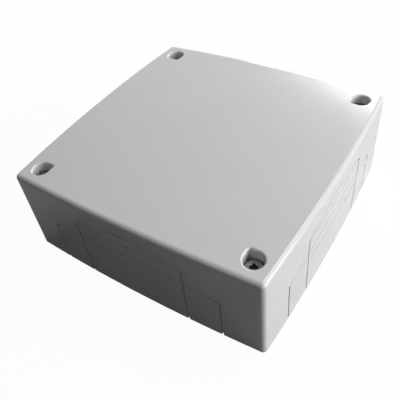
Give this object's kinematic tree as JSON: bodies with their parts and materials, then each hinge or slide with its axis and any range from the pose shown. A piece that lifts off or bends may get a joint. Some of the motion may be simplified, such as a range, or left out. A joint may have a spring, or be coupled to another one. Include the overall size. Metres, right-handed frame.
{
  "type": "junction box",
  "caption": "Low square surface-mounted junction box: domed hood cover with bowed walls, knock-out outlines and corner screw wells, over a base with a terminal strip.",
  "frame": {"origin": "centre of the face that goes against the wall, which is the underside when the box lies on a table", "axes": "+Z away from the wall, X and Y along the walls of the housing, the terminal strip along X"},
  "size_m": [0.1038, 0.1038, 0.0376],
  "materials": {
    "housing_plastic": "satin moulded, light grey",
    "screw_steel": "zinc plated",
    "retainer_plastic": "natural nylon",
    "brass": "turned",
    "terminal_plastic": "natural polyamide"
  },
  "bodies": {
    "base": {"base": "housing_plastic", "pillar_inserts": "brass", "terminal_block": "terminal_plastic", "terminal_sleeve_1": "brass", "terminal_sleeve_2": "brass", "terminal_sleeve_3": "brass", "terminal_sleeve_4": "brass", "terminal_sleeve_5": "brass", "terminal_screws": "screw_steel", "block_screws": "screw_steel"},
    "cover": {"cover": "housing_plastic", "cover_screws": "screw_steel", "screw_retainers": "retainer_plastic"}
  },
  "joints": [
    {"name": "cover_lift", "type": "slide", "parent": "base", "child": "cover", "axis": [0, 0, 1], "range_m": [0, 0.045]}
  ]
}
